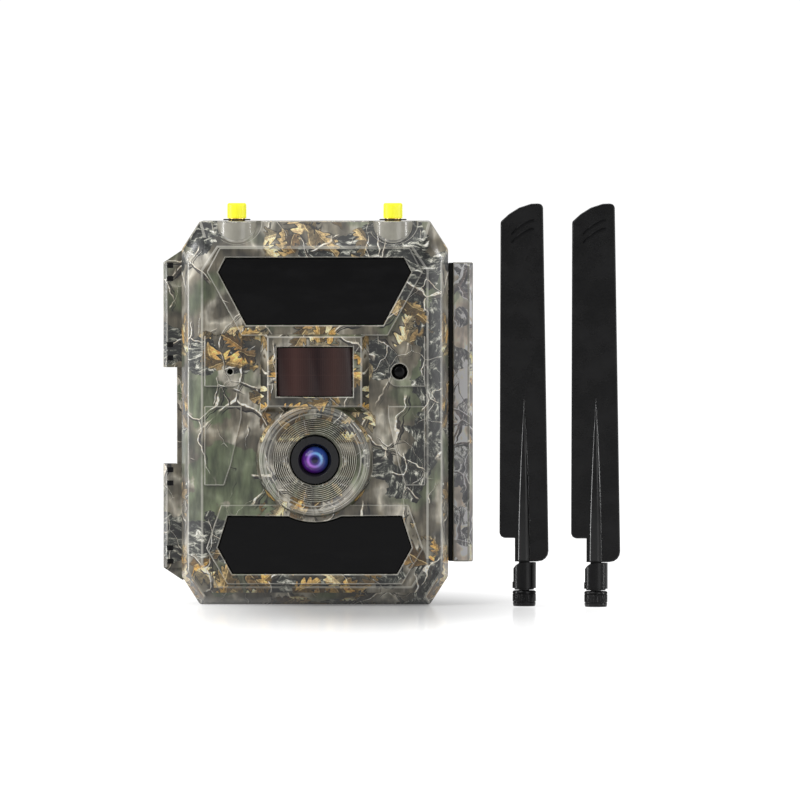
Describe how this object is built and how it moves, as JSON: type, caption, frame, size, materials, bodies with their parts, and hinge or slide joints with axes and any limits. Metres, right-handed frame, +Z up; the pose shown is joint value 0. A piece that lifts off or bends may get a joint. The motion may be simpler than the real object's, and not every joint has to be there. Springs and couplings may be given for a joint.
{
  "type": "trail camera",
  "caption": "Box-shaped trail camera with a hinged camouflage door, side latch, lens, motion and infrared windows, battery tray, and detached swivelling paddle antennas.",
  "frame": {"origin": "rear case's rest face, under the lens axis", "axes": "+Z up, +X to the right seen from the front, the lens looks along -Y"},
  "size_m": [0.1754, 0.095, 0.1543],
  "materials": {
    "camo": "glossy printed camouflage pattern over moulded plastic",
    "black_gloss": "infrared-passing black, polished",
    "black_matte": "satin black moulded plastic",
    "rubber": "matte",
    "pir_brown": "brown lens film with faint vertical bands",
    "glass": "coated, violet to blue reflection",
    "board": "green solder mask",
    "brass": "plated, turned",
    "steel": "satin",
    "cap_yellow": "soft translucent yellow",
    "key_grey": "silicone keys",
    "cell": "sleeved battery cell",
    "card": "moulded memory card",
    "screen": "display panel"
  },
  "bodies": {
    "rear": {"rear_case": "camo", "battery_tray": "black_matte", "aa_cell_1": "cell", "aa_cell_2": "cell", "aa_cell_3": "cell", "aa_cell_4": "cell", "aa_cell_5": "cell", "aa_cell_6": "cell", "aa_cell_7": "cell", "aa_cell_8": "cell", "tripod_insert": "brass", "dc_jack": "black_matte", "case_gasket": "rubber", "hinge_pin_lower": "steel", "hinge_pin_upper": "steel", "latch_pin": "steel"},
    "door": {"front_case": "camo", "upper_ir_window": "black_gloss", "lower_ir_window": "black_gloss", "upper_ir_board": "board", "lower_ir_board": "board", "pir_lens": "pir_brown", "pir_sensor": "steel", "lens_barrel": "black_matte", "lens_glass": "glass", "sensor_board": "board", "light_sensor": "black_gloss", "main_board": "board", "inner_cover": "black_matte", "display": "screen", "sma_left": "brass", "sma_right": "brass", "sma_washer_left": "rubber", "sma_washer_right": "rubber", "coax_left": "black_matte", "coax_right": "black_matte", "cover_screw_lower": "steel", "cover_screw_upper": "steel"},
    "latch": {"latch_cover": "camo", "latch_hook_bar": "black_matte"},
    "power_plug": {"dc_plug": "rubber"},
    "ir_cut": {"ir_cut_frame": "black_matte"},
    "card": {"sd_card": "card"},
    "switch": {"power_switch": "key_grey"},
    "cap_left": {"dust_cap_left": "cap_yellow"},
    "cap_right": {"dust_cap_right": "cap_yellow"},
    "key_up": {"button_up": "key_grey"},
    "key_down": {"button_down": "key_grey"},
    "key_menu": {"button_menu": "key_grey"},
    "key_ok": {"button_ok": "key_grey"},
    "key_shot": {"button_shot": "key_grey"},
    "antenna_left_nut": {"antenna_nut_left": "black_matte"},
    "antenna_left_swivel": {"antenna_knuckle_left": "black_matte", "elbow_pin_left": "steel"},
    "antenna_left_blade": {"antenna_blade_left": "black_matte"},
    "antenna_right_nut": {"antenna_nut_right": "black_matte"},
    "antenna_right_swivel": {"antenna_knuckle_right": "black_matte", "elbow_pin_right": "steel"},
    "antenna_right_blade": {"antenna_blade_right": "black_matte"}
  },
  "joints": [
    {"name": "door_hinge", "type": "hinge", "parent": "rear", "child": "door", "pos_m": [-0.0561, -0.003, 0.0726], "axis": [0, 0, -1], "range_deg": [0, 110]},
    {"name": "latch_hinge", "type": "hinge", "parent": "rear", "child": "latch", "pos_m": [0.0569, 0.008, 0.0738], "axis": [0, 0, 1], "range_deg": [0, 110]},
    {"name": "plug_hinge", "type": "hinge", "parent": "rear", "child": "power_plug", "pos_m": [-0.026, 0.0226, 0.0012], "axis": [1, 0, 0], "range_deg": [0, 100]},
    {"name": "ir_cut_slide", "type": "slide", "parent": "door", "child": "ir_cut", "axis": [1, 0, 0], "range_m": [0, 0.0072]},
    {"name": "card_slide", "type": "slide", "parent": "door", "child": "card", "axis": [0, 0, -1], "range_m": [0, 0.022]},
    {"name": "switch_slide", "type": "slide", "parent": "door", "child": "switch", "axis": [1, 0, 0], "range_m": [0, 0.0058]},
    {"name": "cap_left_pull", "type": "slide", "parent": "door", "child": "cap_left", "axis": [0, 0, 1], "range_m": [0, 0.012]},
    {"name": "cap_right_pull", "type": "slide", "parent": "door", "child": "cap_right", "axis": [0, 0, 1], "range_m": [0, 0.012]},
    {"name": "key_up_press", "type": "slide", "parent": "door", "child": "key_up", "axis": [0, -1, 0], "range_m": [0, 0.0006]},
    {"name": "key_down_press", "type": "slide", "parent": "door", "child": "key_down", "axis": [0, -1, 0], "range_m": [0, 0.0006]},
    {"name": "key_menu_press", "type": "slide", "parent": "door", "child": "key_menu", "axis": [0, -1, 0], "range_m": [0, 0.0006]},
    {"name": "key_ok_press", "type": "slide", "parent": "door", "child": "key_ok", "axis": [0, -1, 0], "range_m": [0, 0.0006]},
    {"name": "key_shot_press", "type": "slide", "parent": "door", "child": "key_shot", "axis": [0, -1, 0], "range_m": [0, 0.0006]},
    {"name": "antenna_left_lift", "type": "slide", "parent": "rear", "child": "antenna_left_nut", "axis": [0, 0, 1], "range_m": [0, 0.03]},
    {"name": "antenna_left_spin", "type": "hinge", "parent": "antenna_left_nut", "child": "antenna_left_swivel", "pos_m": [0.0803, -0.0428, 0.0065], "axis": [0, 0, 1], "continuous": true},
    {"name": "antenna_left_elbow", "type": "hinge", "parent": "antenna_left_swivel", "child": "antenna_left_blade", "pos_m": [0.0803, -0.0428, 0.012], "axis": [0, -1, 0], "range_deg": [0, 90]},
    {"name": "antenna_right_lift", "type": "slide", "parent": "rear", "child": "antenna_right_nut", "axis": [0, 0, 1], "range_m": [0, 0.03]},
    {"name": "antenna_right_spin", "type": "hinge", "parent": "antenna_right_nut", "child": "antenna_right_swivel", "pos_m": [0.1076, -0.0515, 0.0065], "axis": [0, 0, 1], "continuous": true},
    {"name": "antenna_right_elbow", "type": "hinge", "parent": "antenna_right_swivel", "child": "antenna_right_blade", "pos_m": [0.1076, -0.0515, 0.012], "axis": [0, -1, 0], "range_deg": [0, 90]}
  ]
}
